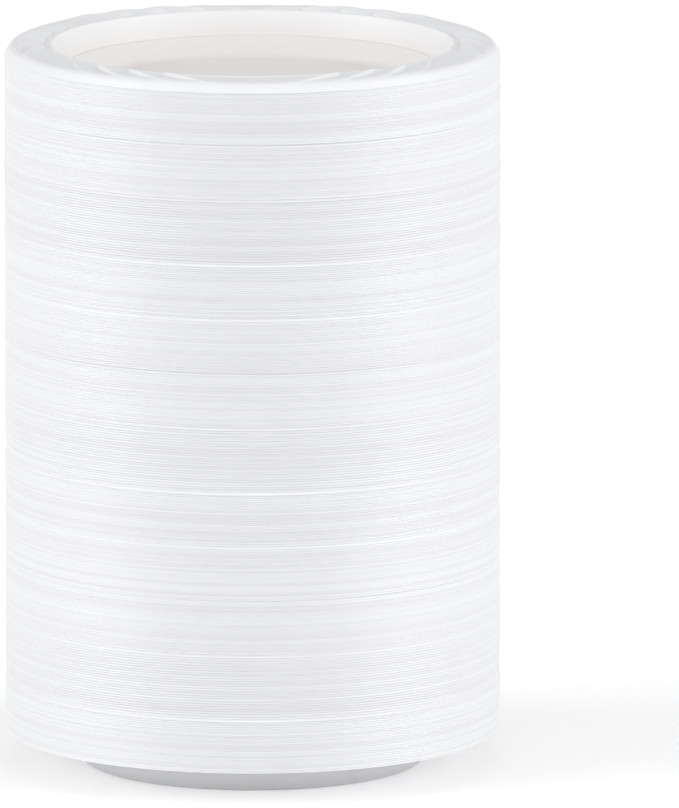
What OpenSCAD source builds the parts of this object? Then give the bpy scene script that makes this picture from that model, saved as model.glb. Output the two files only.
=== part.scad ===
// A tall stack of thin white throwaway plates, nested in sleeves of one count.
// Millimetres, +Z up. The origin is the middle of the lowest plate's base, on the table.
// The front of the stack faces -Y. Sleeves and plates are counted from the top.

/* [Plate] */
// Diameter over the edge of the widest rim
plate_d = 228.6; // [222:0.1:240]
// Height of one plate, from its base to the bead round its opening
plate_h = 20.2; // [18:0.1:25]
// Thickness of the sheet that the plate is formed from
sheet_t = 0.3; // [0.2:0.01:0.4]
// Width of the rim, from its edge to the middle of the bead round the opening
rim_w = 21.5; // [19:0.1:24]
// Width of the wall, from the middle of the bead to where the flat base would meet it
wall_w = 15.4; // [13.5:0.1:18]
// Radius of the corner between the base and the wall
base_corner_r = 6; // [3:0.1:9]
// Place of the ledge on the wall, as a share of the wall's width from the base
ledge_share = 0.5; // [0.4:0.01:0.6]
// Width of the ledge
ledge_w = 1.0; // [0.6:0.1:1.6]
// Height of the ledge over the table side of the base
ledge_z = 9.6; // [8:0.1:12]

/* [Rim] */
// Width of the bead's flat crest
bead_w = 1.2; // [0.8:0.1:1.6]
// Depth of the groove outside the bead
groove_h = 0.7; // [0.5:0.1:1.2]
// Distance from the bead's middle to the bottom of the groove
groove_w = 2.2; // [1.8:0.1:2.6]
// Distance from the bead's middle to the start of the flat rim
rim_start = 4.0; // [3.6:0.1:5]
// Drop from the bead's crest to the start of the flat rim
rim_drop = 0.2; // [0.1:0.05:0.6]
// Fall of the flat rim between its start and the shoulder
rim_fall = 0.1; // [0:0.05:0.6]
// Radius of the shoulder between the rim and the lip
shoulder_r = 3.7; // [2:0.1:4.5]
// Drop from the bead's crest to the edge of the lip
lip_h = 4.8; // [4.4:0.1:6]
// Slope of the lip against the table, in degrees
lip_slope = 57; // [50:0.5:62]

/* [Ribs of the top plate] */
// Groups of ribs on each half of the rim, each in an equal share of it
rib_groups = 3; // [1:1:3]
// Ribs in a group
ribs_per_group = 4; // [1:1:4]
// Angle from one rib to the next, in degrees
rib_pitch = 10.8; // [9:0.1:11.5]
// Angle that a rib sweeps through on its way outwards, in degrees
rib_sweep = 13.8; // [8:0.1:16]
// Height of a rib's crest over the rim
rib_h = 1.5; // [0.5:0.1:2.5]

/* [Stack] */
// Sleeves of plates in the stack
sleeves = 12; // [2:1:16]
// Plates in a sleeve
plates_per_sleeve = 25; // [3:1:30]
// Height between two nested plates, over what their sheets take
nest_gap = 0.38; // [0.1:0.01:0.6]
// The same height in a sleeve that is nested loosely
loose_nest_gap = 0.58; // [0.1:0.01:0.8]
// Height between two sleeves, over what their rims take
sleeve_gap = 0.2; // [0.1:0.01:0.6]
// Spread of the rims from the bottom to the top of a pressed sleeve
rim_spread = 0.55; // [0:0.01:0.8]
// Depth of the gaps between the lips of a joined sleeve, along the lip
lip_gap_w = 2; // [1:0.1:2.5]

/* [Hidden] */
round_fn = 128;
middle_share = 0.5;
white = [0.95, 0.95, 0.96];

// Names of the nodes
function two_digits(i) = str(i < 10 ? "0" : "", i);
function plate_node(i) = str("plate_", two_digits(i));
function sleeve_node(s) = str("sleeve_", two_digits(s));

// Diameters of the opening, the base and the ledge
opening_d = plate_d - 2 * rim_w;
base_d = opening_d - 2 * wall_w;
ledge_d = base_d + 2 * wall_w * ledge_share;
ledge_outer_d = ledge_d + 2 * ledge_w;

// Heights of the plate
edge_z = plate_h - lip_h;
rim_z = plate_h - rim_drop;
shoulder_z = rim_z - rim_fall;

// What a sheet takes of the height where it is steepest
lower_wall_slope = atan2(ledge_z - sheet_t, (ledge_d - base_d) / 2);
upper_wall_slope = atan2(plate_h - ledge_z, (opening_d - bead_w - ledge_outer_d) / 2);
sheet_drop = sheet_t / cos(max(lower_wall_slope, upper_wall_slope, lip_slope));
spread_drop = sheet_t / cos(lip_slope) + rim_spread * tan(lip_slope);
sleeve_step = max(sheet_drop, spread_drop) + sleeve_gap;

// Of every four sleeves the last two are pressed, and one of those two is nested loosely
sleeves_in_a_run = 4;
function place_in_run(s) = (s - 1) % sleeves_in_a_run + 1;
function is_loose(s) = place_in_run(s) == sleeves_in_a_run - 1;
function is_pressed(s) = is_loose(s) || place_in_run(s) == sleeves_in_a_run;
function nest_pitch(s) = sheet_drop + (is_loose(s) ? loose_nest_gap : nest_gap);
function sleeve_h(s) = (plates_per_sleeve - 1) * nest_pitch(s);
function sleeve_z(s) = s >= sleeves ? 0 : sleeve_z(s + 1) + sleeve_h(s + 1) + sleeve_step;
function plate_z(s, i) = sleeve_z(s) + (plates_per_sleeve - i) * nest_pitch(s);
function rim_share(s, i) = is_pressed(s) ? (i - 1) / (plates_per_sleeve - 1) : middle_share;
function rim_r(s, i) = plate_d / 2 - rim_spread * rim_share(s, i);

// Lines and corners of a section
function unit(v) = v / norm(v);
function angle_of(v) = atan2(v[1], v[0]);
function underside(direction) = [direction[1], -direction[0]];

// The corner b between a and c, rounded to a radius in some steps
function corner(a, b, c, radius, steps) =
    radius == 0 ? [b] :
    let (
        back = unit(a - b),
        on = unit(c - b),
        half = acos(back * on) / 2,
        middle = b + unit(back + on) * radius / sin(half),
        first = angle_of(b + back * radius / tan(half) - middle),
        last = angle_of(b + on * radius / tan(half) - middle),
        turn = (last - first + 540) % 360 - 180
    )
    [for (k = [0:steps])
        let (angle = first + turn * k / steps)
        middle + radius * [cos(angle), sin(angle)]];

// A list of [r, z, radius, steps] as points, with its first and last point kept
function rounded(list) =
    let (
        at = [for (p = list) [p[0], p[1]]],
        last = len(list) - 1
    )
    concat(
        [at[0]],
        [for (k = [1:last - 1]) each corner(at[k - 1], at[k], at[k + 1], list[k][2], list[k][3])],
        [at[last]]
    );

// The lower face of a sheet whose upper face is given
function lower_face(upper) =
    let (last = len(upper) - 1)
    [for (k = [0:last])
        let (
            before = underside(unit(upper[max(k, 1)] - upper[max(k, 1) - 1])),
            after = underside(unit(upper[min(k + 1, last)] - upper[min(k, last - 1)])),
            mitre = unit(before + after)
        )
        upper[k] + mitre * sheet_t / (mitre * before)];

// Corners of the plate's upper face
function shoulder_corner(rim) = [rim - (shoulder_z - edge_z) / tan(lip_slope), shoulder_z];
function shoulder(rim, steps) = concat(shoulder_corner(rim), [shoulder_r, steps]);
function rim_point(rim, share) =
    let (
        inner = [opening_d / 2 + rim_start, rim_z],
        outer = shoulder_corner(rim)
    )
    concat(inner + (outer - inner) * share, [0, 0]);
function wall_corners(steps) = [
    [0, sheet_t, 0, 0],
    [base_d / 2, sheet_t, base_corner_r, steps],
    [ledge_d / 2, ledge_z, 0, 0],
    [ledge_outer_d / 2, ledge_z, 0, 0]
];

// A plate with its bead and groove, and points along the flat rim where ribs need them
function full_corners(rim, rib_shares) = concat(
    wall_corners(2),
    [
        [opening_d / 2 - bead_w / 2, plate_h, 0, 0],
        [opening_d / 2 + bead_w / 2, plate_h, 0, 0],
        [opening_d / 2 + groove_w, plate_h - groove_h, 0, 0]
    ],
    [for (share = concat([0], rib_shares)) rim_point(rim, share)],
    [shoulder(rim, 3), [rim, edge_z, 0, 0]]
);

// A plate deep in the stack, of which only the lip shows. Its wall ends level with the groove.
function plain_corners(rim) = concat(
    wall_corners(1),
    [
        [(opening_d - bead_w) / 2 - groove_h / tan(upper_wall_slope), plate_h - groove_h, 0, 0],
        shoulder(rim, 2),
        [rim, edge_z, 0, 0]
    ]
);

// A round plate from the corners of its upper face
module plate(corners) {
    upper = rounded(corners);
    lower = lower_face(upper);
    section = concat(upper, [for (k = [len(lower) - 1:-1:0]) lower[k]]);
    color(white) rotate_extrude($fn = round_fn) polygon(section);
}

// Ribs: each has a ramp up to its crest, and a steep face down to the next rib's ramp.
// Angles are from the front, in degrees, and shares of a rib's length from its inner end.
rib_face = 0.9;
rib_rise = 0.12;
rib_shares = [rib_rise, 0.45, 0.75];
ramp_middle_share = 0.45;
last_rib_share = 0.6;
ramp_reach = rib_pitch - rib_face;
group_span = ramp_reach + (ribs_per_group - 1) * rib_pitch + rib_face;
group_step = 180 / rib_groups;
group_gap = group_step - group_span;

// A column of points is [angle, share of the sweep, share of the height]
function rib_columns(angle, height) = [
    [angle - ramp_reach / 2, 1, ramp_middle_share * height],
    [angle, 1, height],
    [angle + rib_face, 1, 0]
];
function group_columns(start) = concat(
    [[start, 1, 0]],
    [for (k = [0:ribs_per_group - 1])
        let (height = k < ribs_per_group - 1 ? 1 : last_rib_share)
        each rib_columns(start + ramp_reach + k * rib_pitch, height)]
);

// Columns in half a gap between groups, which keep the rim round.
// They turn upright towards the front and the back, where the halves meet.
widest_gap_step = 3;
gap_steps = ceil(group_gap / 2 / widest_gap_step);
function gap_columns(start, from, to) = [for (k = [1:gap_steps - 1])
    let (share = k / gap_steps)
    [start + group_gap / 2 * share, from + (to - from) * share, 0]];
half_columns = [for (g = [0:rib_groups - 1]) each concat(
    g > 0 ? [[g * group_step, 1, 0]] : [],
    gap_columns(g * group_step, g > 0 ? 1 : 0, 1),
    group_columns(g * group_step + group_gap / 2),
    gap_columns((g + 1) * group_step - group_gap / 2, 1, g < rib_groups - 1 ? 1 : 0)
)];
last_column = len(half_columns) - 1;

// The left half from front to back, then the right half from back to front.
// The last number says on which side of the middle the column lies.
columns = concat(
    [[0, 0, 0, -1]],
    [for (c = half_columns) concat(c, [-1])],
    [[180, 0, 0, -1]],
    [for (k = [last_column:-1:0]) concat(half_columns[k], [1])]
);

// The height of a crest along its rib, from its inner end at 0 to its outer end at 1
function crest(share) =
    share <= 0 || share >= 1 ? 0 :
    share < rib_rise ? share / rib_rise :
    cos(90 * (share - rib_rise) / (1 - rib_rise));

// A point of the ribbed sheet: p is its place in the section, q the upper face's
function skin_point(p, q, column) =
    let (
        inner = opening_d / 2 + rim_start,
        outer = shoulder_corner(rim_r(1, 1))[0],
        share = (q[0] - inner) / (outer - inner),
        angle = column[0] + column[1] * rib_sweep * (0.5 - min(max(share, 0), 1)),
        lift = rib_h * column[2] * crest(share)
    )
    [column[3] * p[0] * sin(angle), -p[0] * cos(angle), p[1] + lift];

// A closed sheet of rings and columns, with a point at its middle on each face
module ribbed_sheet(upper, lower) {
    n = len(columns);
    rings = len(upper) - 1;
    face_points = 1 + rings * n;
    points = concat(
        [[0, 0, upper[0][1]]],
        [for (k = [1:rings]) for (c = columns) skin_point(upper[k], upper[k], c)],
        [[0, 0, lower[0][1]]],
        [for (k = [1:rings]) for (c = columns) skin_point(lower[k], upper[k], c)]
    );
    top = function (k, i) 1 + (k - 1) * n + i % n;
    under = function (k, i) face_points + top(k, i);
    faces = concat(
        [for (i = [0:n - 1]) [0, top(1, i), top(1, i + 1)]],
        [for (i = [0:n - 1]) [face_points, under(1, i + 1), under(1, i)]],
        [for (k = [1:rings - 1]) for (i = [0:n - 1]) each [
            [top(k, i), top(k + 1, i), top(k + 1, i + 1)],
            [top(k, i), top(k + 1, i + 1), top(k, i + 1)],
            [under(k, i), under(k + 1, i + 1), under(k + 1, i)],
            [under(k, i), under(k, i + 1), under(k + 1, i + 1)]
        ]],
        [for (i = [0:n - 1]) each [
            [top(rings, i + 1), top(rings, i), under(rings, i)],
            [top(rings, i + 1), under(rings, i), under(rings, i + 1)]
        ]]
    );
    polyhedron(points, faces);
}

// The top plate, whose rim shows its ribs
module top_plate() {
    upper = rounded(full_corners(rim_r(1, 1), rib_shares));
    color(white) translate([0, 0, plate_z(1, 1)]) ribbed_sheet(upper, lower_face(upper));
}

// A plate of the top sleeve, under the top plate
module nested_plate(i) {
    translate([0, 0, plate_z(1, i)]) plate(full_corners(rim_r(1, i), []));
}

// A sleeve is joined into one solid, because its plates show only their lips. It has the upper face of
// its first plate, every lip with the gap under it, and the lower face of its last plate.
lip_way = [cos(lip_slope), -sin(lip_slope)];
function lip_edge(s, i) = [rim_r(s, i), edge_z + plate_z(s, i)];
function edge_under(s, i) = lip_edge(s, i) + underside(lip_way) * sheet_t;
function gap_end(s, i) = edge_under(s, i) - lip_way * lip_gap_w;
function lip_at(s, i, r) = lip_edge(s, i) - lip_way * (rim_r(s, i) - r) / lip_way[0];
function raised(points, z) = [for (p = points) p + [0, z]];
module sleeve(s) {
    // The lowest plate of all is a node of its own
    count = s == sleeves ? plates_per_sleeve - 1 : plates_per_sleeve;
    lower = raised(lower_face(rounded(plain_corners(rim_r(s, count)))), plate_z(s, count));
    section = concat(
        raised(rounded(plain_corners(rim_r(s, 1))), plate_z(s, 1)),
        [for (i = [1:count - 1]) each [
            edge_under(s, i),
            gap_end(s, i),
            lip_at(s, i + 1, gap_end(s, i)[0]),
            lip_edge(s, i + 1)
        ]],
        [for (k = [len(lower) - 1:-1:0]) lower[k]]
    );
    color(white) rotate_extrude($fn = round_fn) polygon(section);
}

// The plate that the stack stands on
module bottom_plate() {
    plate(plain_corners(rim_r(sleeves, plates_per_sleeve)));
}

top_plate();
bottom_plate();
for (i = [2:plates_per_sleeve]) nested_plate(i);
for (s = [2:sleeves]) sleeve(s);
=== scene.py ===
# %% [markdown]
# A tall stack of throwaway plates
#
# The object is a stack of 300 white plates. Each is one thin sheet of polystyrene, heated and drawn into
# a mould, and then cut out along its edge. They nest in twelve sleeves of twenty-five.
# The CAD frame already holds the stack's sizes, so this lesson only dresses it: finer plates take the
# place of the plain ones, and one material, a floor, soft lamps and a camera make the picture.

# %% Load the frame
import math

import bmesh
import bpy
from mathutils import Matrix, Vector


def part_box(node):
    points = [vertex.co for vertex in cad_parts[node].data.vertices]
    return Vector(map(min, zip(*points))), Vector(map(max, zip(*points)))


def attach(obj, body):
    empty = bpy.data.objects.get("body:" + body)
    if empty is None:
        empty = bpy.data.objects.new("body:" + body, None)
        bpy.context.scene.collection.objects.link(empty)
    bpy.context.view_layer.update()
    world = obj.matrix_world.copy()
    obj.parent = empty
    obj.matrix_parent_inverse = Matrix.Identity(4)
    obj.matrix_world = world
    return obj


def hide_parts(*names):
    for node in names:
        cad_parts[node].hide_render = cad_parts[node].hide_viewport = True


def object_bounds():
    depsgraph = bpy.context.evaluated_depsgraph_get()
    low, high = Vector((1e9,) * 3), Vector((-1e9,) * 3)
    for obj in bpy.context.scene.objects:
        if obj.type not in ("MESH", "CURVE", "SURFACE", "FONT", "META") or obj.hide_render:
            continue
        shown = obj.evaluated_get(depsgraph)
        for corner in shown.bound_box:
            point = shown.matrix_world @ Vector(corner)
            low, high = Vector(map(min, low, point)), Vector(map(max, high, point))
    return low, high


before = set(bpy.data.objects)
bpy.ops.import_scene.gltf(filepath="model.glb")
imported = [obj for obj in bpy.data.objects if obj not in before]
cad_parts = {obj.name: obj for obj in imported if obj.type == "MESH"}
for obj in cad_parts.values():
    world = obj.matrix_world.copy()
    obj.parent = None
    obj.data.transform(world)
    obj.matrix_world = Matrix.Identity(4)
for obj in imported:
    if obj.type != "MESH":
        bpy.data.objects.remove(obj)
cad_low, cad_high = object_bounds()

MM = 0.001
MERGE_MM = 0.01
scene = bpy.context.scene
stack_size = (cad_high - cad_low) / MM
print("stack, mm:", [round(v, 1) for v in stack_size])

# %% [markdown]
# Where the plates are
#
# The twelve sleeves are the blocks that a buyer lifts out of the carton. The top one is a node for each
# plate, and the others are a node each. Sizes could be typed in again, but a stack that is measured from
# the frame follows it when the frame changes, so the ends of a sleeve are read off its box.

# %% Sleeves, from the frame
PLATES_PER_SLEEVE = 25
SLEEVES = 12
TOP_SLEEVE = [f"plate_{i:02d}" for i in range(2, PLATES_PER_SLEEVE + 1)]
LOWER_SLEEVES = [[f"sleeve_{s:02d}"] for s in range(2, SLEEVES + 1)]
LOWER_SLEEVES[-1].append("bottom_plate")


def box_of(nodes):
    """The box round some CAD nodes, as its lowest and highest corner in metres."""
    boxes = [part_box(name) for name in nodes]
    low = Vector([min(b[0][k] for b in boxes) for k in range(3)])
    high = Vector([max(b[1][k] for b in boxes) for k in range(3)])
    return low, high


plate_low, plate_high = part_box("plate_02")
bottom_low, bottom_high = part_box("bottom_plate")
full_plate_h = (plate_high.z - plate_low.z) / MM
plain_plate_h = (bottom_high.z - bottom_low.z) / MM
top_rim_r = plate_high.x / MM
print("plate height, mm:", round(full_plate_h, 2), "rim radius, mm:", round(top_rim_r, 2))

# %% [markdown]
# The section of a plate
#
# A plate is round, so one line from its middle to its edge says all of its shape: the flat base, a rounded
# corner, a sloping wall with a small ledge, the raised bead round the opening, a groove, the rim and the
# lip that turns down. The line could be drawn by hand as a curve. Here it is a short list of corners, each
# with a radius, because a formed sheet is just that: flats, slopes and the radii of its mould.

# %% Corners and their radii, in millimetres
SHEET_T = 0.3
BASE_R = 77.4
BASE_CORNER_R = 6.0
LEDGE_R = 85.1
LEDGE_W = 1.0
LEDGE_Z = 9.6
LEDGE_CORNER_R = 0.7
BEAD_R = 92.8
BEAD_W = 1.2
BEAD_CORNER_R = 0.8
GROOVE_R = BEAD_R + 2.2
GROOVE_H = 0.7
GROOVE_CORNER_R = 1.2
RIM_R = BEAD_R + 4.0
RIM_DROP = 0.2
RIM_FALL = 0.1
SHOULDER_R = 3.7
LIP_H = 4.8
LIP_SLOPE = math.radians(57)


def rounded(corners):
    """Points along a line whose corners are (r, z, radius, steps). The ends are kept."""
    points = [Vector(corners[0][:2])]
    for before, here, after in zip(corners, corners[1:], corners[2:]):
        b = Vector(here[:2])
        if here[2] == 0:
            points.append(b)
            continue
        back = (Vector(before[:2]) - b).normalized()
        on = (Vector(after[:2]) - b).normalized()
        half = back.angle(on) / 2
        middle = b + (back + on).normalized() * here[2] / math.sin(half)
        first = b + back * here[2] / math.tan(half) - middle
        last = b + on * here[2] / math.tan(half) - middle
        for k in range(here[3] + 1):
            share = k / here[3]
            arm = first.lerp(last, share).normalized() * here[2]
            points.append(middle + arm)
    points.append(Vector(corners[-1][:2]))
    return points


def divided(points, longest, from_r):
    """The same line, with its long stretches outside a radius cut into equal parts."""
    result = [points[0]]
    for a, b in zip(points, points[1:]):
        parts = max(1, math.ceil((b - a).length / longest)) if a.x > from_r else 1
        result += [a.lerp(b, k / parts) for k in range(1, parts + 1)]
    return result


def shoulder_corner(rim_r, rim_z):
    """Where the flat rim and the lip would meet if the shoulder were sharp."""
    fall = rim_z - RIM_FALL - (full_plate_h - LIP_H)
    return rim_r - fall / math.tan(LIP_SLOPE), rim_z - RIM_FALL


rim_z = full_plate_h - RIM_DROP
shoulder_r, shoulder_z = shoulder_corner(top_rim_r, rim_z)
wall_corners = [
    (0, SHEET_T, 0, 0),
    (BASE_R, SHEET_T, BASE_CORNER_R, 8),
    (LEDGE_R, LEDGE_Z, LEDGE_CORNER_R, 3),
    (LEDGE_R + LEDGE_W, LEDGE_Z, LEDGE_CORNER_R / 2, 3),
]
rim_corners = [
    (BEAD_R - BEAD_W / 2, full_plate_h, BEAD_CORNER_R, 5),
    (BEAD_R + BEAD_W / 2, full_plate_h, BEAD_CORNER_R, 4),
    (GROOVE_R, full_plate_h - GROOVE_H, GROOVE_CORNER_R, 4),
    (RIM_R, rim_z, GROOVE_CORNER_R, 3),
    (shoulder_r, shoulder_z, SHOULDER_R, 9),
    (top_rim_r, full_plate_h - LIP_H, 0, 0),
]
print("section corners:", len(wall_corners) + len(rim_corners))

# %% [markdown]
# A helper for trees of nodes
#
# Geometry trees and materials are both trees of nodes. Adding a node by hand takes a line for the node, one
# for each setting and one for each link, so one small function does the three at once.


# %% The node helper
def socket(sockets, key):
    """A socket by its place, or by its name among those that the node's settings leave in use."""
    if isinstance(key, int):
        return sockets[key]
    return next(s for s in sockets if s.name == key and s.enabled)


def add(tree, kind, inputs=None, **settings):
    """Adds a node. Each input is a value, or a socket or node that is linked to it."""
    made = tree.nodes.new(kind)
    for name, value in settings.items():
        setattr(made, name, value)
    for key, value in (inputs or {}).items():
        source = value
        if isinstance(value, bpy.types.Node):
            source = next(s for s in value.outputs if s.enabled)
        if isinstance(source, bpy.types.NodeSocket):
            tree.links.new(source, socket(made.inputs, key))
        else:
            socket(made.inputs, key).default_value = source
    return made


def geometry_tree(name, **sizes):
    """An empty tree of geometry nodes with a named input for each size, and its two ends."""
    tree = bpy.data.node_groups.new(name, "GeometryNodeTree")
    tree.interface.new_socket("Geometry", in_out="INPUT", socket_type="NodeSocketGeometry")
    tree.interface.new_socket("Geometry", in_out="OUTPUT", socket_type="NodeSocketGeometry")
    for label, kind in sizes.items():
        title = label.replace("_", " ").capitalize()
        tree.interface.new_socket(title, in_out="INPUT", socket_type="NodeSocket" + kind)
    return tree, add(tree, "NodeGroupInput"), add(tree, "NodeGroupOutput")


def applied(holder):
    """The plain mesh that an object's modifiers make. The object goes."""
    bpy.context.view_layer.update()
    shown = holder.evaluated_get(bpy.context.evaluated_depsgraph_get())
    mesh = bpy.data.meshes.new_from_object(shown)
    bpy.data.objects.remove(holder)
    return mesh


def placed(name, mesh):
    """A new object with this mesh, at the origin."""
    made = bpy.data.objects.new(name, mesh)
    scene.collection.objects.link(made)
    return made


def grown(tree, **values):
    """The plain mesh that a tree makes with these values for its named inputs."""
    holder = placed("holder", bpy.data.meshes.new("holder"))
    modifier = holder.modifiers.new("nodes", "NODES")
    modifier.node_group = tree
    for item in tree.interface.items_tree:
        key = item.name.lower().replace(" ", "_")
        if item.in_out == "INPUT" and key in values:
            modifier[item.identifier] = values[key]
    return applied(holder)


def section_object(name, points):
    """A hidden object whose points are a section, kept in order, with the radius as x and the height as z."""
    mesh = bpy.data.meshes.new(name)
    mesh.from_pydata([(p[0] * MM, 0, p[1] * MM) for p in points], [], [])
    return placed(name, mesh)

# %% [markdown]
# The nested plates
#
# 299 plates lie under the top one, and only the edges of their lips show. Copying one mesh by hand 299 times
# would work, but a rule is plainer: the section is turned round the axis, the plate is set on a row of
# points, one pitch apart, and each copy gets a little tilt and push of its own, because no stack is perfect.
# In a pressed sleeve the lips of the lower plates are also squeezed inwards a little.

# %% The tree for a sleeve of nested plates
COLUMNS = 90
TILT = math.radians(0.02)
PUSH = 0.06 * MM
LIFT = 0.04 * MM
widest_r = max(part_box(name)[1].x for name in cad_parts) / MM
rim_squeeze = widest_r - bottom_high.x / MM


def lower_face(upper):
    """The lower face of the sheet whose upper face is this line."""
    result = []
    for k, here in enumerate(upper):
        ways = []
        if k > 0:
            ways.append((here - upper[k - 1]).normalized())
        if k < len(upper) - 1:
            ways.append((upper[k + 1] - here).normalized())
        normals = [Vector((way.y, -way.x)) for way in ways]
        mitre = sum(normals, Vector((0, 0))).normalized()
        result.append(here + mitre * SHEET_T / mitre.dot(normals[0]))
    result[0].x = 0
    return result


def closed_section(upper):
    """Upper and lower face of a sheet as one line, from the middle out and back."""
    return upper + lower_face(upper)[::-1]


def sleeve_tree():
    """Turns a section into a plate and nests copies of it, the first at the bottom."""
    tree, start, end = geometry_tree(
        "Nested plates",
        section="Object",
        section_points="Int",
        columns="Int",
        plates="Int",
        foot="Float",
        pitch="Float",
        inset="Float",
        squeeze="Float",
        looseness="Float",
        rim_start="Float",
        seed="Int",
        material="Material",
    )
    value = start.outputs

    # The section as a ring of columns: column i and section point k are vertex i * points + k
    more = add(tree, "ShaderNodeMath", {0: value["Columns"], 1: 1.0}, operation="ADD")
    grid = add(tree, "GeometryNodeMeshGrid", {"Vertices X": more, "Vertices Y": value["Section points"]})
    index = add(tree, "GeometryNodeInputIndex")
    turns = add(tree, "ShaderNodeMath", {0: index, 1: value["Section points"]}, operation="DIVIDE")
    column = add(tree, "ShaderNodeMath", {0: turns}, operation="FLOOR")
    point = add(tree, "ShaderNodeMath", {0: index, 1: value["Section points"]}, operation="MODULO")
    section = add(tree, "GeometryNodeObjectInfo", {"Object": value["Section"]})
    position = add(tree, "GeometryNodeInputPosition")
    at = add(
        tree,
        "GeometryNodeSampleIndex",
        {"Geometry": section.outputs["Geometry"], "Value": position, "Index": point},
        data_type="FLOAT_VECTOR",
    )
    share = add(tree, "ShaderNodeMath", {0: column, 1: value["Columns"]}, operation="DIVIDE")
    angle = add(tree, "ShaderNodeMath", {0: share, 1: math.tau}, operation="MULTIPLY")
    turned = add(
        tree,
        "ShaderNodeVectorRotate",
        {"Vector": at, "Axis": (0, 0, 1), "Angle": angle},
        rotation_type="AXIS_ANGLE",
    )
    ring = add(tree, "GeometryNodeSetPosition", {"Geometry": grid, "Position": turned})
    plate = add(tree, "GeometryNodeMergeByDistance", {"Geometry": ring, "Distance": MERGE_MM * MM})

    # One point for each plate, with what sets this plate apart
    step = add(tree, "ShaderNodeCombineXYZ", {"Z": value["Pitch"]})
    foot = add(tree, "ShaderNodeCombineXYZ", {"Z": value["Foot"]})
    row = add(
        tree,
        "GeometryNodeMeshLine",
        {"Count": value["Plates"], "Start Location": foot, "Offset": step},
    )
    place = add(tree, "GeometryNodeInputIndex")
    pushed = add(
        tree,
        "FunctionNodeRandomValue",
        {"Min": (-PUSH, -PUSH, -LIFT), "Max": (PUSH, PUSH, LIFT), "ID": place, "Seed": value["Seed"]},
        data_type="FLOAT_VECTOR",
    )
    pushed = add(
        tree,
        "ShaderNodeVectorMath",
        {0: pushed, "Scale": value["Looseness"]},
        operation="SCALE",
    )
    row = add(tree, "GeometryNodeSetPosition", {"Geometry": row, "Offset": pushed})
    tilt = add(
        tree,
        "FunctionNodeRandomValue",
        {"Min": (-TILT, -TILT, 0), "Max": (TILT, TILT, math.tau), "ID": place, "Seed": value["Seed"]},
        data_type="FLOAT_VECTOR",
    )
    tilt = add(
        tree,
        "ShaderNodeVectorMath",
        {0: tilt, "Scale": value["Looseness"]},
        operation="SCALE",
    )
    stack = add(
        tree,
        "GeometryNodeInstanceOnPoints",
        {"Points": row, "Instance": plate, "Rotation": tilt},
    )

    # How far each plate's lip is pressed in, and how white it is
    last = add(tree, "ShaderNodeMath", {0: value["Plates"], 1: 1.0}, operation="SUBTRACT")
    height = add(tree, "ShaderNodeMath", {0: place, 1: last}, operation="DIVIDE")
    depth = add(tree, "ShaderNodeMath", {0: 1.0, 1: height}, operation="SUBTRACT")
    pressed = add(
        tree,
        "ShaderNodeMath",
        {0: depth, 1: value["Squeeze"], 2: value["Inset"]},
        operation="MULTIPLY_ADD",
    )
    stack = add(
        tree,
        "GeometryNodeStoreNamedAttribute",
        {"Geometry": stack, "Name": "inset", "Value": pressed},
        domain="INSTANCE",
        data_type="FLOAT",
    )
    tone = add(
        tree,
        "FunctionNodeRandomValue",
        {"ID": place, "Seed": value["Seed"]},
        data_type="FLOAT",
    )
    stack = add(
        tree,
        "GeometryNodeStoreNamedAttribute",
        {"Geometry": stack, "Name": "tone", "Value": tone},
        domain="INSTANCE",
        data_type="FLOAT",
    )
    plates = add(tree, "GeometryNodeRealizeInstances", {"Geometry": stack})

    # The lip alone moves in, so the walls still nest
    flat = add(tree, "ShaderNodeVectorMath", {0: position, 1: (1, 1, 0)}, operation="MULTIPLY")
    radius = add(tree, "ShaderNodeVectorMath", {0: flat}, operation="LENGTH")
    outward = add(tree, "ShaderNodeVectorMath", {0: flat}, operation="NORMALIZE")
    inset = add(tree, "GeometryNodeInputNamedAttribute", {"Name": "inset"}, data_type="FLOAT")
    on_lip = add(tree, "ShaderNodeMath", {0: radius, 1: value["Rim start"]}, operation="GREATER_THAN")
    way = add(tree, "ShaderNodeMath", {0: inset, 1: on_lip}, operation="MULTIPLY")
    inward = add(tree, "ShaderNodeMath", {0: way, 1: -1.0}, operation="MULTIPLY")
    move = add(tree, "ShaderNodeVectorMath", {0: outward, "Scale": inward}, operation="SCALE")
    plates = add(tree, "GeometryNodeSetPosition", {"Geometry": plates, "Offset": move})
    plates = add(tree, "GeometryNodeSetMaterial", {"Geometry": plates, "Material": value["Material"]})
    tree.links.new(plates.outputs[0], end.inputs[0])
    return tree


nested_tree = sleeve_tree()
print("nodes in the sleeve's tree:", len(nested_tree.nodes))

# %% [markdown]
# Dressing the sleeves
#
# A hidden plate needs few corners, and a shape that comes 299 times has to be light. The section keeps the
# places where sheets nearly touch, the corner of the base and the ledge, and the shoulder, which shows.
# The lowest plate is seen from below, so it gets the full section.

# %% The nested pieces
PLAIN_BEAD_DROP = 0.3
DOUBLES_MM = 0.001
nested_corners = [
    (0, SHEET_T, 0, 0),
    (BASE_R, SHEET_T, BASE_CORNER_R, 1),
    (LEDGE_R + LEDGE_W, LEDGE_Z, 0, 0),
    (BEAD_R, full_plate_h - PLAIN_BEAD_DROP, 0, 0),
    (*shoulder_corner(widest_r, rim_z), SHOULDER_R, 2),
    (widest_r, full_plate_h - LIP_H, 0, 0),
]
nested_section = closed_section(rounded(nested_corners))
nested_holder = section_object("nested_section", nested_section)


def finished(name, mesh, slot, *nodes):
    """Puts a mesh in place as a piece that stands for some CAD nodes."""
    piece = placed(name, mesh)
    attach(piece, "root")
    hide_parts(*nodes)
    return piece


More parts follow.
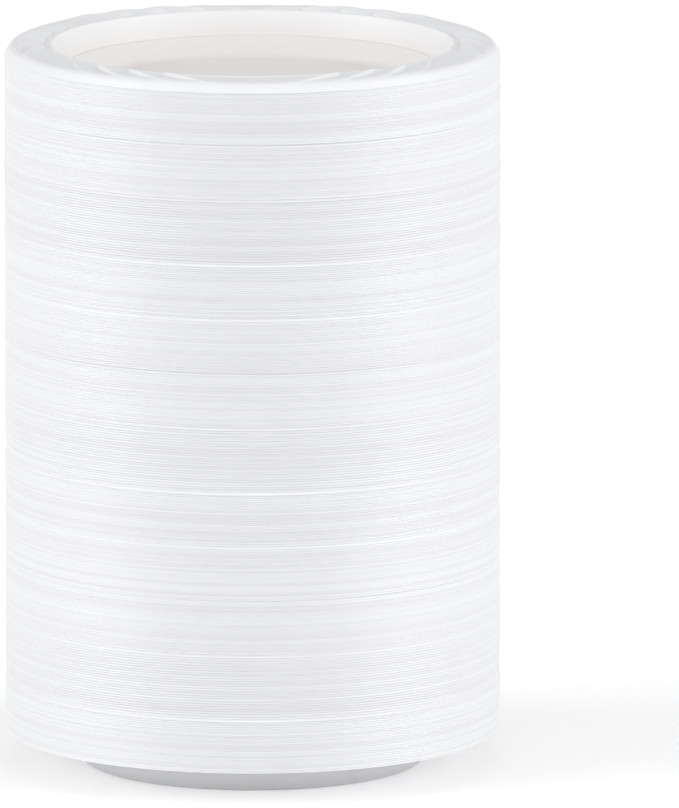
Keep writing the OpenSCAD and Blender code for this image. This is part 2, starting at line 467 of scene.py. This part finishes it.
def outward(mesh):
    """The same mesh, with its doubles merged and its faces turned outwards."""
    shape = bmesh.new()
    shape.from_mesh(mesh)
    bmesh.ops.remove_doubles(shape, verts=shape.verts, dist=DOUBLES_MM * MM)
    bmesh.ops.recalc_face_normals(shape, faces=shape.faces)
    shape.to_mesh(mesh)
    shape.free()
    return mesh


def nested_piece(number, nodes, plates, low, high, top_h, material):
    """One sleeve of nested plates. Low and high are its box, top_h the height of its first plate."""
    top_r = high.x / MM
    is_squeezed = top_r > widest_r - rim_squeeze / 4
    mesh = grown(
        nested_tree,
        section=nested_holder,
        section_points=len(nested_section),
        columns=COLUMNS,
        plates=plates,
        foot=low.z,
        pitch=((high.z - low.z) - top_h * MM) / (plates - 1),
        inset=(widest_r - top_r) * MM,
        squeeze=rim_squeeze * MM if is_squeezed else 0.0,
        looseness=1.0,
        rim_start=(RIM_R + 1) * MM,
        seed=number,
        material=material,
    )
    return finished(f"nested_plates_{number:02d}", smoothed(outward(mesh)), "white_plastic", *nodes)

# %% [markdown]
# The ribbed rim
#
# The rim of the top plate carries slanting ribs in groups, with plain stretches between. Each rib rises in a
# ramp, comes to a crest and drops in a steep face. They could be carved by hand, but they follow a rule, so
# the sheet is a grid whose columns already lean the way the ribs do, and its height comes from where a point
# lies in its group. The left half is made and mirrored, as the stack's own halves mirror each other.

# %% Sizes of the ribs
RIB_H = 1.5
RIB_PITCH = 10.8
RIB_SWEEP = 13.8
RIB_FACE_SHARE = 1 / 9
RIB_RAMP_POWER = 2.2
RIBS_PER_GROUP = 4
LAST_RIB_SHARE = 0.6
GROUP_STEP = 60.0
GROUP_GAP = GROUP_STEP - RIBS_PER_GROUP * RIB_PITCH
RIB_OVERLAP = 0.5
HALF_COLUMNS = 300
CREST_ALONG = [(0, 0), (0.05, 0.7), (0.12, 0.95), (0.25, 1), (0.5, 0.97), (0.75, 0.8), (0.92, 0.3), (1, 0)]


def ribbed_tree():
    """Half of the ribbed sheet, from the front over the left side to the back, and its mirror image."""
    tree, start, end = geometry_tree(
        "Ribbed rim",
        section="Object",
        section_points="Int",
        columns="Int",
        rib_start="Float",
        rib_end="Float",
        rib_height="Float",
        pitch="Float",
        sweep="Float",
        group_step="Float",
        group_gap="Float",
        material="Material",
    )
    value = start.outputs

    def maths(operation, *terms, clamped=False):
        """One step of arithmetic, on numbers or sockets."""
        inputs = dict(enumerate(terms))
        return add(tree, "ShaderNodeMath", inputs, operation=operation, use_clamp=clamped).outputs[0]

    # Column i and section point k are vertex i * points + k
    more = maths("ADD", value["Columns"], 1.0)
    grid = add(tree, "GeometryNodeMeshGrid", {"Vertices X": more, "Vertices Y": value["Section points"]})
    index = add(tree, "GeometryNodeInputIndex").outputs[0]
    column = maths("FLOOR", maths("DIVIDE", index, value["Section points"]))
    point = maths("MODULO", index, value["Section points"])
    section = add(tree, "GeometryNodeObjectInfo", {"Object": value["Section"]})
    at = add(
        tree,
        "GeometryNodeSampleIndex",
        {
            "Geometry": section.outputs["Geometry"],
            "Value": add(tree, "GeometryNodeInputPosition"),
            "Index": point,
        },
        data_type="FLOAT_VECTOR",
    )
    parts = add(tree, "ShaderNodeSeparateXYZ", {0: at})
    radius, height = parts.outputs["X"], parts.outputs["Z"]

    # Along a rib, from 0 at its inner end to 1 at the shoulder
    length = maths("SUBTRACT", value["Rib end"], value["Rib start"])
    along = maths("DIVIDE", maths("SUBTRACT", radius, value["Rib start"]), length, clamped=True)
    crest = add(tree, "ShaderNodeFloatCurve", {"Value": along})
    points = crest.mapping.curves[0].points
    points[0].location, points[1].location = CREST_ALONG[0], CREST_ALONG[-1]
    for place in CREST_ALONG[1:-1]:
        points.new(*place)
    crest.mapping.update()

    # Round the rim, in degrees: the place in the group, then in the pitch of one rib
    round_rim = maths("MULTIPLY", maths("DIVIDE", column, value["Columns"]), 180.0)
    in_step = maths("FLOORED_MODULO", round_rim, value["Group step"])
    half_gap = maths("MULTIPLY", value["Group gap"], 0.5)
    in_group = maths("SUBTRACT", in_step, half_gap)
    rib = maths("DIVIDE", in_group, value["Pitch"])
    number = maths("FLOOR", rib)
    phase = maths("SUBTRACT", rib, number)
    ramp = maths("POWER", maths("DIVIDE", phase, 1 - RIB_FACE_SHARE), RIB_RAMP_POWER)
    face = maths("DIVIDE", maths("SUBTRACT", 1.0, phase), RIB_FACE_SHARE)
    across = maths("MINIMUM", ramp, face)
    is_last = maths("COMPARE", number, RIBS_PER_GROUP - 1.0, 0.1)
    full_share = maths("SUBTRACT", 1.0, maths("MULTIPLY", is_last, 1 - LAST_RIB_SHARE))
    is_after_start = maths("GREATER_THAN", rib, 0.0)
    is_before_end = maths("LESS_THAN", rib, float(RIBS_PER_GROUP))
    is_rib = maths("MULTIPLY", is_after_start, is_before_end)
    profile = maths("MULTIPLY", maths("MULTIPLY", across, full_share), crest.outputs[0])
    lift = maths("MULTIPLY", profile, is_rib)
    raised = maths("MULTIPLY_ADD", lift, value["Rib height"], height)

    # The columns lean over the rim, and stand straight at the front and the back, where the halves meet
    nearest_end = maths("MINIMUM", round_rim, maths("SUBTRACT", 180.0, round_rim))
    fade = add(tree, "ShaderNodeMapRange", {"Value": nearest_end, "From Max": half_gap})
    full_lean = maths("MULTIPLY", value["Sweep"], fade.outputs[0])
    lean = maths("MULTIPLY", maths("SUBTRACT", 0.5, along), full_lean)
    angle = maths("RADIANS", maths("ADD", round_rim, lean))
    x = maths("MULTIPLY", maths("MULTIPLY", radius, maths("SINE", angle)), -1.0)
    y = maths("MULTIPLY", maths("MULTIPLY", radius, maths("COSINE", angle)), -1.0)
    placed = add(tree, "ShaderNodeCombineXYZ", {"X": x, "Y": y, "Z": raised})
    half = add(tree, "GeometryNodeSetPosition", {"Geometry": grid, "Position": placed})
    mirrored = add(tree, "GeometryNodeTransform", {"Geometry": half, "Scale": (-1, 1, 1)})
    both = add(tree, "GeometryNodeJoinGeometry", {"Geometry": half})
    tree.links.new(mirrored.outputs[0], both.inputs["Geometry"])
    whole = add(tree, "GeometryNodeMergeByDistance", {"Geometry": both, "Distance": MERGE_MM * MM})
    whole = add(tree, "GeometryNodeRealizeInstances", {"Geometry": whole})
    whole = add(tree, "GeometryNodeSetMaterial", {"Geometry": whole, "Material": value["Material"]})
    tree.links.new(whole.outputs[0], end.inputs[0])
    return tree


rib_tree = ribbed_tree()
print("nodes in the rim's tree:", len(rib_tree.nodes))

# %% [markdown]
# The white plastic
#
# The plates are high-impact polystyrene, a sheet with a little rubber in it, coloured white with titanium
# dioxide and formed warm over a mould. It is smooth and slightly glossy, and light sinks in a little way. The
# mould leaves a fine grain, the cooling sheet stays a little wavy, and no two batches are quite as white.
# All of it comes from noise on Object coordinates, sized in real millimetres, so it stays on the piece. The
# well of the top plate also gets painted shade, a darker, warmer white.


# %% Colours and the material
def linear(code):
    """An sRGB colour such as F1F2F4 as the linear colour that shaders use."""
    parts = [int(code[k : k + 2], 16) / 255 for k in (0, 2, 4)]
    return [c / 12.92 if c <= 0.04045 else ((c + 0.055) / 1.055) ** 2.4 for c in parts] + [1.0]


SHEET_WHITE = linear("F3F4F6")
SHEET_SHADE = linear("ECECEE")
# Painted shade: the well of the top plate is coloured this darker, warmer white
WELL_PAINTED_SHADE = linear("ECE9E7")
POLYSTYRENE_IOR = 1.59
ROUGHNESS = 0.36
ROUGHNESS_SPREAD = 0.05
SCATTER_SHARE = 0.15
SCATTER_MM = 1.2
GRAIN_MM = 0.9
GRAIN_H_MM = 0.01
WAVE_MM = 22.0
WAVE_H_MM = 0.25
CLOUD_MM = 60.0
WELL_SHADE_FADE_MM = 8.0


def noise(tree, place, size_mm, detail):
    """Noise whose patches are about as wide as a size in millimetres."""
    settings = {"Vector": place, "Scale": 1 / (size_mm * MM), "Detail": detail}
    return add(tree, "ShaderNodeTexNoise", settings).outputs[0]


def formed_polystyrene(name, from_attribute, shaded_well_r=0.0):
    """White formed sheet. Nested plates have a tone each, and a well gets painted shade, a darker, warmer
    white.
    """
    material = bpy.data.materials.new(name)
    material.use_nodes = True
    tree = material.node_tree
    tree.nodes.clear()
    place = add(tree, "ShaderNodeTexCoord").outputs["Object"]

    # Colour: cloudy patches, or the tone of the batch, and painted shade in the well, a darker, warmer white
    if from_attribute:
        tone = add(tree, "ShaderNodeAttribute", attribute_name="tone").outputs["Fac"]
    else:
        tone = noise(tree, place, CLOUD_MM, 2.0)
    inputs = {"Factor": tone, "A": SHEET_WHITE, "B": SHEET_SHADE}
    colour = add(tree, "ShaderNodeMix", inputs, data_type="RGBA")
    # Painted shade: inside the bead the colour fades to a darker, warmer white, in place of the shade under
    # the rim
    if shaded_well_r:
        level = add(tree, "ShaderNodeVectorMath", {0: place, 1: (1, 1, 0)}, operation="MULTIPLY")
        radius = add(tree, "ShaderNodeVectorMath", {0: level}, operation="LENGTH")
        limits = {"Value": radius, "From Min": shaded_well_r, "From Max": shaded_well_r - WELL_SHADE_FADE_MM * MM}
        in_painted_shade = add(tree, "ShaderNodeMapRange", limits)
        inputs = {"Factor": in_painted_shade, "A": colour, "B": WELL_PAINTED_SHADE}
        colour = add(tree, "ShaderNodeMix", inputs, data_type="RGBA")

    # Surface: the mould's fine grain over the slow waves of a sheet that cooled unevenly
    wave = noise(tree, place, WAVE_MM, 1.0)
    waved = add(tree, "ShaderNodeBump", {"Height": wave, "Strength": 1.0, "Distance": WAVE_H_MM * MM})
    grain = noise(tree, place, GRAIN_MM, 3.0)
    inputs = {"Height": grain, "Strength": 1.0, "Distance": GRAIN_H_MM * MM, "Normal": waved}
    bumped = add(tree, "ShaderNodeBump", inputs)
    spread = {
        "Value": grain,
        "To Min": ROUGHNESS - ROUGHNESS_SPREAD,
        "To Max": ROUGHNESS + ROUGHNESS_SPREAD,
    }
    rough = add(tree, "ShaderNodeMapRange", spread)
    shader = add(
        tree,
        "ShaderNodeBsdfPrincipled",
        {
            "Base Color": colour,
            "Roughness": rough,
            "IOR": POLYSTYRENE_IOR,
            "Subsurface Weight": SCATTER_SHARE,
            "Subsurface Radius": (1.0, 1.0, 1.0),
            "Subsurface Scale": SCATTER_MM * MM,
            "Normal": bumped,
        },
    )
    add(tree, "ShaderNodeOutputMaterial", {"Surface": shader})
    return material


# The top plate's material carries the painted shade of its well
top_sheet = formed_polystyrene("formed_polystyrene_top", from_attribute=False, shaded_well_r=BEAD_R * MM)
nested_sheet = formed_polystyrene("formed_polystyrene_nested", from_attribute=True)
lowest_sheet = formed_polystyrene("formed_polystyrene_lowest", from_attribute=False)
print("materials:", [m.name for m in (top_sheet, nested_sheet, lowest_sheet)])

# %% [markdown]
# The plates, made
#
# The section objects only feed the trees, so they go once every plate is a plain mesh. Both faces of the
# sheet are in the section, so a plate comes out closed, and Solidify isn't needed.

# %% Top plate, nested plates and lowest plate
FINE_STEP = 1.0
SHARP_ANGLE = math.radians(50)


def smoothed(mesh):
    """Smooth shading, with the edges of the sheet left sharp."""
    mesh.shade_smooth()
    mesh.set_sharp_from_angle(angle=SHARP_ANGLE)
    return mesh


def top_piece():
    """The ribbed plate."""
    section = closed_section(divided(rounded(wall_corners + rim_corners), FINE_STEP, RIM_R - FINE_STEP))
    holder = section_object("top_section", section)
    low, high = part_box("top_plate")
    mesh = grown(
        rib_tree,
        section=holder,
        section_points=len(section),
        columns=HALF_COLUMNS,
        rib_start=(RIM_R - RIB_OVERLAP) * MM,
        rib_end=shoulder_r * MM,
        rib_height=RIB_H * MM,
        pitch=RIB_PITCH,
        sweep=RIB_SWEEP,
        group_step=GROUP_STEP,
        group_gap=GROUP_GAP,
        material=top_sheet,
    )
    bpy.data.objects.remove(holder)
    mesh.transform(Matrix.Translation((0, 0, low.z)))
    return finished("ribbed_plate", smoothed(outward(mesh)), "white_plastic", "top_plate")


def lowest_piece():
    """The plate that the stack stands on, in its full section."""
    inset = top_rim_r - bottom_high.x / MM
    lip = [(r - inset, z, *rest) for r, z, *rest in rim_corners[-2:]]
    section = closed_section(rounded(wall_corners + rim_corners[:-2] + lip))
    holder = section_object("lowest_section", section)
    mesh = grown(
        nested_tree,
        section=holder,
        section_points=len(section),
        columns=2 * COLUMNS,
        plates=1,
        foot=0.0,
        pitch=0.0,
        inset=0.0,
        squeeze=0.0,
        looseness=0.0,
        rim_start=0.0,
        seed=0,
        material=lowest_sheet,
    )
    bpy.data.objects.remove(holder)
    return finished("lowest_plate", smoothed(outward(mesh)), "white_plastic", "bottom_plate")


pieces = [top_piece(), lowest_piece()]
sleeve_nodes = [TOP_SLEEVE] + LOWER_SLEEVES
for number, nodes in enumerate(sleeve_nodes, start=1):
    low, high = box_of(nodes)
    in_top_sleeve = number == 1
    in_last_sleeve = number == SLEEVES
    plates = PLATES_PER_SLEEVE - 1 if in_top_sleeve or in_last_sleeve else PLATES_PER_SLEEVE
    top_h = full_plate_h if in_top_sleeve else plain_plate_h
    pieces.append(nested_piece(number, nodes, plates, low, high, top_h, nested_sheet))
bpy.data.objects.remove(nested_holder)
for piece in pieces:
    piece.data.calc_loop_triangles()
    print(piece.name, len(piece.data.loop_triangles), "triangles")

# %% [markdown]
# Floor and light
#
# The picture is a product shot on white: wide soft lamps at both sides leave the middle of the round stack
# a little darker than its edges. They stand low, and the white room is dimmer overhead, so that the well
# stays darker than the rims, and a weaker lamp in front reaches the lowest plate's wall. Lamps near the
# stack would light the floor in patches, so these are far off.
# The floor is white and takes the stack's shadow. A little light of its own, for the camera and for
# reflections only, lifts it to the white of the background and lights nothing.

# %% Floor, world and lamps
FLOOR_HALF = 40.0
FLOOR_GLOW = 0.3
HORIZON_LIGHT = 0.6
OVERHEAD_LIGHT = 0.55
LAMP_SPREAD = math.radians(50)
SIDE_AZIMUTH = math.radians(72)
SIDE_ELEVATION = math.radians(18)
SIDE_STRENGTH = 1.7
FRONT_ELEVATION = math.radians(8)
FRONT_STRENGTH = 0.7


def white_background(tree, strength):
    """A strength that counts only for what the camera sees, directly or by reflection."""
    path = add(tree, "ShaderNodeLightPath").outputs
    seen = add(
        tree,
        "ShaderNodeMath",
        {0: path["Is Camera Ray"], 1: path["Is Glossy Ray"]},
        operation="MAXIMUM",
    )
    seen = add(
        tree,
        "ShaderNodeMath",
        {0: seen, 1: path["Is Transmission Ray"]},
        operation="MAXIMUM",
    )
    return add(tree, "ShaderNodeMath", {0: seen, 1: strength}, operation="MULTIPLY")


def white_floor():
    """A floor of matt white paint, wide enough to fill the picture."""
    mesh = bpy.data.meshes.new("floor")
    corners = [(-1, -1), (1, -1), (1, 1), (-1, 1)]
    mesh.from_pydata([(x * FLOOR_HALF, y * FLOOR_HALF, 0) for x, y in corners], [], [(0, 1, 2, 3)])
    material = bpy.data.materials.new("white_floor_paint")
    material.use_nodes = True
    tree = material.node_tree
    tree.nodes.clear()
    matt = add(tree, "ShaderNodeBsdfDiffuse", {"Color": linear("F7F7F7")})
    glow = add(tree, "ShaderNodeEmission", {"Strength": white_background(tree, FLOOR_GLOW)})
    both = add(tree, "ShaderNodeAddShader", {0: matt, 1: glow})
    add(tree, "ShaderNodeOutputMaterial", {"Surface": both})
    mesh.materials.append(material)
    placed("floor", mesh)


def white_world():
    """Soft light from all round, dimmer overhead, and pure white for the camera and reflections."""
    world = bpy.data.worlds.new("white_room")
    world.use_nodes = True
    tree = world.node_tree
    tree.nodes.clear()
    way = add(tree, "ShaderNodeTexCoord").outputs["Generated"]
    height = add(tree, "ShaderNodeSeparateXYZ", {0: way}).outputs["Z"]
    limits = {"Value": height, "To Min": HORIZON_LIGHT, "To Max": OVERHEAD_LIGHT}
    soft = add(tree, "ShaderNodeMapRange", limits)
    strength = add(tree, "ShaderNodeMath", {0: soft, 1: white_background(tree, 1.0)}, operation="MAXIMUM")
    light = add(tree, "ShaderNodeBackground", {"Strength": strength})
    add(tree, "ShaderNodeOutputWorld", {"Surface": light})
    scene.world = world


def soft_lamp(name, azimuth, elevation, strength):
    """A wide, far lamp that lights the floor evenly. Azimuth is from the front, and positive to the right."""
    lamp = bpy.data.lights.new(name, "SUN")
    lamp.energy = strength
    lamp.angle = LAMP_SPREAD
    holder = placed(name, lamp)
    level = math.cos(elevation)
    way = Vector((math.sin(azimuth) * level, -math.cos(azimuth) * level, math.sin(elevation)))
    holder.location = way
    holder.rotation_euler = way.to_track_quat("Z", "Y").to_euler()


white_floor()
white_world()
soft_lamp("left_lamp", -SIDE_AZIMUTH, SIDE_ELEVATION, SIDE_STRENGTH)
soft_lamp("right_lamp", SIDE_AZIMUTH, SIDE_ELEVATION, SIDE_STRENGTH)
soft_lamp("front_lamp", 0.0, FRONT_ELEVATION, FRONT_STRENGTH)
scene.view_settings.view_transform = "Standard"

# %% [markdown]
# The camera
#
# The rims' ellipses flatten towards the bottom of the picture by very little, so the picture was taken from
# far off with a long lens. The angle and the distance were fitted to the heights of the rims.

# %% Camera
PICTURE_W = 679
PICTURE_H = 808
PX_PER_MM = 2.172
STACK_X_PX = 252.7
AIM_Z = 166.2
CAMERA_ELEVATION = math.radians(10.3)
CAMERA_DISTANCE = 10.28
SENSOR = 36.0
FAR_LIMIT = 100


def photo_camera():
    """A camera that looks straight back, a little down, with the stack left of the picture's middle."""
    data = bpy.data.cameras.new("camera")
    data.sensor_fit = "AUTO"
    data.sensor_width = SENSOR
    data.lens = SENSOR * CAMERA_DISTANCE / (PICTURE_H / PX_PER_MM * MM)
    data.clip_end = FAR_LIMIT
    holder = placed("camera", data)
    aim = Vector(((PICTURE_W / 2 - STACK_X_PX) / PX_PER_MM, 0, AIM_Z)) * MM
    way = Vector((0, -math.cos(CAMERA_ELEVATION), math.sin(CAMERA_ELEVATION)))
    holder.location = aim + way * CAMERA_DISTANCE
    holder.rotation_euler = (math.pi / 2 - CAMERA_ELEVATION, 0, 0)
    return holder


scene.camera = photo_camera()
print("lens, mm:", round(scene.camera.data.lens, 1))
